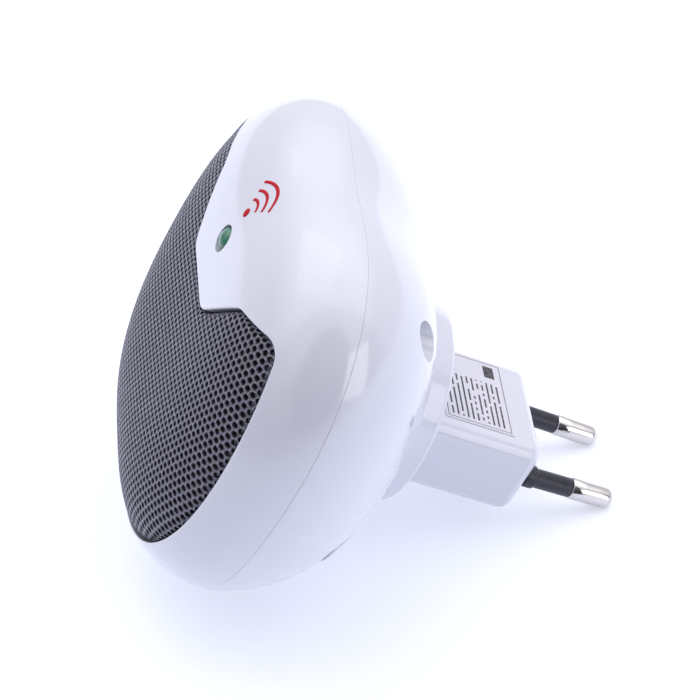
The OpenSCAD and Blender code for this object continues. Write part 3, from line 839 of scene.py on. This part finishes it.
def build_grille():
    """A pressed sheet with staggered round holes, rolled down behind the shell's edge."""
    loop = opening_loop()
    n = outward(loop)
    edge = loop - n * GRILLE_GAP
    border = edge + n * (FOLD_R + SKIRT)
    reach = HOLE_R + HOLE_RINGS[0][0]
    centres = hole_centres(border, reach + WEB)
    a = np.arange(HOLE_SIDES) * TAU / HOLE_SIDES
    ring = np.stack([np.cos(a), np.sin(a)], -1)
    rims = [(centres[:, None] + ring * (HOLE_R + wider)).reshape(-1, 2)
            for wider, _ in HOLE_RINGS]
    guides = np.vstack([edge + n * s for s in np.linspace(-1, 1, 5) * FOLD_R])
    near = np.linalg.norm(guides[:, None] - centres[None], axis=2).min(1)
    guides = guides[near > reach + 0.1]

    flat = np.vstack([rims[0], border, guides])
    first = len(rims[0])
    owner = np.concatenate([np.repeat(np.arange(len(centres)), HOLE_SIDES),
                            np.full(len(border), -1), np.full(len(guides), -2)])
    edges = [(h * HOLE_SIDES + i, h * HOLE_SIDES + (i + 1) % HOLE_SIDES)
             for h in range(len(centres)) for i in range(HOLE_SIDES)]
    edges += [(first + i, first + (i + 1) % len(border)) for i in range(len(border))]
    out = delaunay_2d_cdt([Vector(p) for p in flat], edges, [], 0, 1e-7)
    source = np.array([o[0] for o in out[3]])
    triangles = source[np.array(out[2])]
    group = owner[triangles]
    same = (group[:, 0] == group[:, 1]) & (group[:, 1] == group[:, 2])
    middle = flat[triangles].mean(1)
    outside = signed_distance(middle, border)[0] > 0
    keep = ~((same & (group[:, 0] >= 0)) | (same & (group[:, 0] == -1) & outside))
    triangles = triangles[keep]
    span = flat[triangles]
    d1, d2 = span[:, 1] - span[:, 0], span[:, 2] - span[:, 0]
    backwards = d1[:, 0] * d2[:, 1] - d1[:, 1] * d2[:, 0] < 0
    triangles[backwards] = triangles[backwards][:, ::-1]

    count = len(flat)
    layers = [flat] + rims[1:-1] + [np.vstack([rims[-1], border, guides])]
    depths = [np.zeros(count)] + [np.full(first, d) for _, d in HOLE_RINGS[1:]]
    depths[-1] = np.full(count, GRILLE_SHEET)
    offsets = np.cumsum([0] + [len(p) for p in layers])
    every = sheet_points(np.vstack(layers), np.concatenate(depths), edge)
    faces = [tuple(t) for t in triangles.tolist()]
    faces += [tuple(t[::-1]) for t in (triangles + offsets[-2]).tolist()]
    for low, high in zip(offsets[:-2], offsets[1:-1]):
        for h in range(len(centres)):
            for i in range(HOLE_SIDES):
                p, q = h * HOLE_SIDES + i, h * HOLE_SIDES + (i + 1) % HOLE_SIDES
                faces.append((q + low, p + low, p + high, q + high))
    for i in range(len(border)):
        p, q = first + i, first + (i + 1) % len(border)
        faces.append((p, p + offsets[-2], q + offsets[-2], q))
    grille = make_object("perforated_grille", every, faces)
    dress(grille, "grille_paint", "speaker_grille")
    grille.data.materials.append(MATERIALS["grille_painted_shade"])
    front = len(triangles)
    walls = len(centres) * HOLE_SIDES
    # The back of the sheet and the deep part of each hole's wall take the near-black paint:
    # painted shade in the holes.
    inside = np.zeros(len(faces), np.int32)
    inside[front:2 * front] = 1
    inside[2 * front + 2 * walls:2 * front + 3 * walls] = 1
    grille.data.polygons.foreach_set("material_index", inside)


# ---------- plug ----------
def rounded_rect_loop(w, h, r, arc=12, flat=10):
    """Points and outward normals of a rounded rectangle, anticlockwise in (x, z)."""
    points, normals = [], []
    corners = [(1, -1, -90), (1, 1, 0), (-1, 1, 90), (-1, -1, 180)]
    for sx, sz, start in corners:
        for k in range(arc + 1):
            a = math.radians(start + 90 * k / arc)
            points.append((sx * (w / 2 - r) + r * math.cos(a),
                           sz * (h / 2 - r) + r * math.sin(a)))
            normals.append((math.cos(a), math.sin(a)))
        a = math.radians(start + 90)
        n = (math.cos(a), math.sin(a))
        length = (h if abs(n[0]) > 0.5 else w) - 2 * r
        here = points[-1]
        along = (-n[1], n[0])
        for k in range(1, flat):
            t = length * k / flat
            points.append((here[0] + along[0] * t, here[1] + along[1] * t))
            normals.append(n)
    return np.array(points), np.array(normals)


def build_plug_housing():
    """The plug block, its collar and the spigot in the case, from the end face inward."""
    flat, n = rounded_rect_loop(PLUG_W, PLUG_H, PLUG_CORNER)
    rows, normals = [], []

    def add(points, y, normal2, normal_y):
        rows.append(level(points, y))
        v = level(normal2, normal_y)
        normals.append(v / np.linalg.norm(v, axis=1, keepdims=True))

    zero = n * 0
    for share in (0.02, 0.5, 0.96):
        add((flat - n * PLUG_END_ROUND) * share, 0, zero, 1)
    for k in range(9):
        a = math.radians(90 - 90 * k / 8)
        inset = PLUG_END_ROUND * (1 - math.cos(a))
        y = -PLUG_END_ROUND * (1 - math.sin(a))
        add(flat - n * inset, y, n * math.cos(a), math.sin(a))
    back = -PLUG_LEN
    fillet = PLUG_FILLET
    for y in np.linspace(-PLUG_END_ROUND, back + fillet, 9)[1:]:
        add(flat, y, n, 0)
    for k in range(1, 7):
        a = math.radians(90 * k / 6)
        add(flat + n * fillet * (1 - math.cos(a)), back + fillet * (1 - math.sin(a)),
            n * math.cos(a), math.sin(a))
    centre = np.array([0, COLLAR_Z])
    direction = flat - centre
    direction /= np.linalg.norm(direction, axis=1, keepdims=True)
    round_r = COLLAR_ROUND
    start = flat + n * fillet
    ring = centre + direction * (COLLAR_R - round_r)
    for t in (0.33, 0.66, 1.0):
        add(start + (ring - start) * t, back, zero, 1)
    turn = math.pi / 2 - COLLAR_SLOPE
    for k in range(1, 9):
        a = turn * k / 8
        add(ring + direction * round_r * math.sin(a), back - round_r * (1 - math.cos(a)),
            direction * math.sin(a), math.cos(a))
    r_end = COLLAR_R - round_r + round_r * math.sin(turn)
    y_end = back - round_r * (1 - math.cos(turn))
    taper = math.tan(COLLAR_SLOPE)
    for t in (2.0, 4.0, 5.4, 6.6, 10.0):
        add(centre + direction * (r_end + t * taper), y_end - t, direction, taper)
    add(centre + direction * (SPIGOT_R - 0.5), y_end - 10, zero, -1)
    housing = loops_object("plug_body", rows, caps=(True, True))
    set_normals(housing, np.concatenate(normals))
    dress(housing, "case_plastic", "plug_housing")


def pin_axis(side):
    """Where a pin leaves the end face, and its direction, which leans inward to the tips."""
    lean = math.atan((PIN_PITCH - PIN_PITCH_TIP) / 2 / PIN_LEN)
    direction = (-side * math.sin(lean), math.cos(lean), 0)
    return (side * PIN_PITCH / 2, 0, 0), direction


def build_pins():
    """Both pins, each with a core, an inner flange and a round tip, and their sleeves."""
    for side, name in ((-1, "left"), (1, "right")):
        place, direction = pin_axis(side)
        base, end = SLEEVE_LEN, PIN_LEN
        profile = [(0, -9), (PIN_STUB_R, -9), (PIN_STUB_R, -4.5), (PIN_FLANGE_R, -4.5),
                   (PIN_FLANGE_R, -3.2), (PIN_CORE_R, -3.2), (PIN_CORE_R, base),
                   (PIN_R - 0.25, base), (PIN_R, base + 0.25)]
        profile += [(PIN_R, y) for y in (base + 3, base + 5)]
        for k in range(1, 15):
            a = math.radians(90 * k / 15)
            profile.append((PIN_R * math.cos(a) ** 0.86,
                            end - PIN_TIP + PIN_TIP * math.sin(a)))
        profile.append((0, end))
        pin = lathe(f"pin_{name}", profile, place, direction, 128, 50)
        dress(pin, "pin_nickel", f"plug_pin_{name}")
        sleeve_profile = rounded_profile(
            [(SLEEVE_BORE_R, -3), (SLEEVE_R, -3), (SLEEVE_R, 0.1), (SLEEVE_RING_R, 0.1),
             (SLEEVE_RING_R, 2.1), (SLEEVE_R, 2.35), (SLEEVE_R, base - 0.05),
             (SLEEVE_BORE_R, base - 0.05)], 0.12)
        sleeve = lathe(f"sleeve_{name}", sleeve_profile, place, direction, 96, 50)
        dress(sleeve, "sleeve_plastic", f"pin_sleeve_{name}")


def build_led():
    """The indicator: a half-round dome on a short body with a flange."""
    profile = []
    for k in range(24):
        a = math.radians(90 - 90 * k / 23)
        profile.append((LED_R * math.cos(a), -LED_R * math.sin(a)))
    back = SEAM_Y - 7 - LED_DOME_Y
    flange_r = LED_R + LED_FLANGE
    profile += [(LED_R, back - 1), (flange_r, back - 1), (flange_r, back), (0, back)]
    profile[0] = (0, -LED_R)
    lens = lathe("indicator_lens", profile, (0, LED_DOME_Y, LED_Z), (0, 1, 0), 96, 50)
    dress(lens, "led_lens", "status_led")


MARK_Z, INK_PROUD, DOT_R = 29.2, 0.02, 0.85
ARC_RADII, ARC_HALF_WIDTH = (2.6, 4.4, 6.2), 0.28


def build_mark():
    """A printed dot with three arcs spreading from it, in place of any printed name."""
    sector = math.radians(46)
    vertices, faces = [], []

    def band(r0, r1, a0, a1, steps):
        base = len(vertices)
        for k in range(steps + 1):
            a = a0 + (a1 - a0) * k / steps
            for r in (r0, r1):
                x, z = r * math.sin(a), MARK_Z + r * math.cos(a)
                y = float(surface_y(FRONT, np.array(x), np.array(z)))
                vertices.append((x, y - INK_PROUD, z))
        for k in range(steps):
            i = base + 2 * k
            faces.append((i, i + 1, i + 3, i + 2))

    for r in ARC_RADII:
        band(r - ARC_HALF_WIDTH, r + ARC_HALF_WIDTH, -sector, sector, 28)
    band(0.02, DOT_R, -math.pi, math.pi, 28)
    mark = make_object("front_mark", vertices, faces)
    modify(mark, "SOLIDIFY", thickness=0.00004, offset=0)
    dress(mark, "wire_red", material="mark_red")


# ---------- stage ----------
def table_axes():
    """The table's up, and the level directions away from the camera and to its right."""
    up = Vector((0, -math.sin(TABLE_TILT), math.cos(TABLE_TILT)))
    forward = (Vector(CAMERA_AIM) - Vector(CAMERA_AT)).normalized()
    right = forward.cross(up).normalized()
    return up, up.cross(right), right


def build_stage():
    """A white table, tilted as the photo shows it, that can't be seen from below."""
    up, away, _ = table_axes()
    right = Vector((1, 0, 0))
    ahead = up.cross(right)
    size, cells = TABLE_SIZE, TABLE_CELLS
    vertices, faces = [], []
    for j in range(cells + 1):
        for i in range(cells + 1):
            p = (right * (i / cells - 0.5) + ahead * (j / cells - 0.5)) * size
            vertices.append(tuple(p + up * TABLE_DEPTH))
    for j in range(cells):
        for i in range(cells):
            a = j * (cells + 1) + i
            faces.append((a, a + 1, a + cells + 2, a + cells + 1))
    floor = make_object("table", vertices, faces)
    s = Shader("table_white_painted_shade", TABLE_WHITE, 0.6, Specular_IOR_Level=0.1)
    near = s.nodes.new("ShaderNodeVectorMath")
    near.operation = "DOT_PRODUCT"
    near.inputs[1].default_value = away
    s.links.new(s.place, near.inputs[0])
    # Toward the camera the table's colour darkens: painted shade, under a faint random clouding.
    shade_falloff = s.spread(near.outputs["Value"], 0.0, 1.0, *TABLE_SHADE_FADE)
    clouds_and_painted_shade = s.math("MULTIPLY", s.spread(s.noise(30.0), 0.985, 1.0), shade_falloff)
    s.set_color(s.mix(clouds_and_painted_shade, TABLE_PAINTED_SHADE, TABLE_WHITE))
    s.shader.inputs["Emission Color"].default_value = (1, 1, 1, 1)
    s.shader.inputs["Emission Strength"].default_value = TABLE_GLOW
    clear = s.nodes.new("ShaderNodeBsdfTransparent")
    facing = s.nodes.new("ShaderNodeNewGeometry").outputs["Backfacing"]
    mixer = s.nodes.new("ShaderNodeMixShader")
    output = s.nodes["Material Output"]
    s.links.new(facing, mixer.inputs[0])
    s.links.new(s.shader.outputs[0], mixer.inputs[1])
    s.links.new(clear.outputs[0], mixer.inputs[2])
    s.links.new(mixer.outputs[0], output.inputs["Surface"])
    floor.data.materials.append(s.material)


def soft_box(name, place, target, size, power):
    """A square area light that faces target."""
    light = bpy.data.lights.new(name, "AREA")
    light.shape = "SQUARE"
    light.size = size
    light.energy = power
    obj = bpy.data.objects.new(name, light)
    bpy.context.scene.collection.objects.link(obj)
    obj.location = place
    obj.rotation_euler = (Vector(target) - Vector(place)).to_track_quat("-Z", "Y").to_euler()
    return obj


def map_range(nodes, links, value, source, target):
    """A smooth step from one range of values to another."""
    node = nodes.new("ShaderNodeMapRange")
    node.interpolation_type = "SMOOTHSTEP"
    node.inputs["From Min"].default_value, node.inputs["From Max"].default_value = source
    node.inputs["To Min"].default_value, node.inputs["To Max"].default_value = target
    links.new(value, node.inputs["Value"])
    return node.outputs["Result"]


def build_world():
    """A white tent behind and above the object, with a dim room on the camera's side."""
    up, away, _ = table_axes()
    world = bpy.data.worlds.new("studio")
    bpy.context.scene.world = world
    world.use_nodes = True
    nodes, links = world.node_tree.nodes, world.node_tree.links
    sky = nodes.new("ShaderNodeTexCoord").outputs["Generated"]

    def along(direction):
        dot = nodes.new("ShaderNodeVectorMath")
        dot.operation = "DOT_PRODUCT"
        dot.inputs[1].default_value = direction
        links.new(sky, dot.inputs[0])
        return dot.outputs["Value"]

    step = map_range(nodes, links, along(away), TENT_EDGE, (0.0, 1.0))
    mix = nodes.new("ShaderNodeMix")
    mix.data_type = "RGBA"
    links.new(step, mix.inputs["Factor"])
    colors = [socket for socket in mix.inputs if socket.type == "RGBA"]
    colors[0].default_value = (*DIM_ROOM, 1)
    colors[1].default_value = (*BRIGHT_TENT, 1)
    out = [socket for socket in mix.outputs if socket.type == "RGBA"][0]
    links.new(out, nodes["Background"].inputs["Color"])
    climb = map_range(nodes, links, along(up), CLIMB_FROM, CLIMB_TO)
    core = up * math.sin(CORE_HEIGHT) - away * math.cos(CORE_HEIGHT)
    shadow = map_range(nodes, links, along(core), CORE_FROM, CORE_TO)
    product = nodes.new("ShaderNodeMath")
    product.operation = "MULTIPLY"
    links.new(climb, product.inputs[0])
    links.new(shadow, product.inputs[1])
    links.new(product.outputs[0], nodes["Background"].inputs["Strength"])


def build_lights():
    """A large soft box high behind the object, and one at the right on the camera's side."""
    up, away, right = table_axes()
    a, e = WINDOW_TURN, WINDOW_HEIGHT
    window = (away * math.cos(a) * math.cos(e) + right * math.sin(a) * math.cos(e)
              + up * math.sin(e))
    case_middle = Vector((0, -0.05, 0))
    soft_box("window_box", window * LIGHT_DISTANCE + case_middle, case_middle, WINDOW_SIZE,
             WINDOW_POWER)
    side = (right * 0.7 - away * 0.65 + up * 0.35).normalized() * LIGHT_DISTANCE
    soft_box("side_box", side, (0, -0.02, 0), SIDE_SIZE, SIDE_POWER)


def build_camera():
    """The photo's camera, as fitted to it."""
    data = bpy.data.cameras.new("camera")
    data.lens = CAMERA_LENS
    data.sensor_width = 36.0
    data.clip_start, data.clip_end = 0.02, 20.0
    camera = bpy.data.objects.new("camera", data)
    bpy.context.scene.collection.objects.link(camera)
    place, aim = Vector(CAMERA_AT) * MM, Vector(CAMERA_AIM) * MM
    forward = (aim - place).normalized()
    level = forward.cross(Vector((0, 0, 1))).normalized()
    level_up = level.cross(forward)
    right = level * math.cos(CAMERA_ROLL) + level_up * math.sin(CAMERA_ROLL)
    up = right.cross(forward)
    camera.matrix_world = Matrix((
        (right.x, up.x, -forward.x, place.x),
        (right.y, up.y, -forward.y, place.y),
        (right.z, up.z, -forward.z, place.z),
        (0, 0, 0, 1)))
    bpy.context.scene.camera = camera


build_camera()
dress_cad_nodes()
build_front_shell()
build_rear_shell()
build_grille()
build_plug_housing()
build_pins()
build_led()
build_mark()
build_stage()
build_world()
build_lights()
bpy.context.scene.view_settings.view_transform = "Standard"
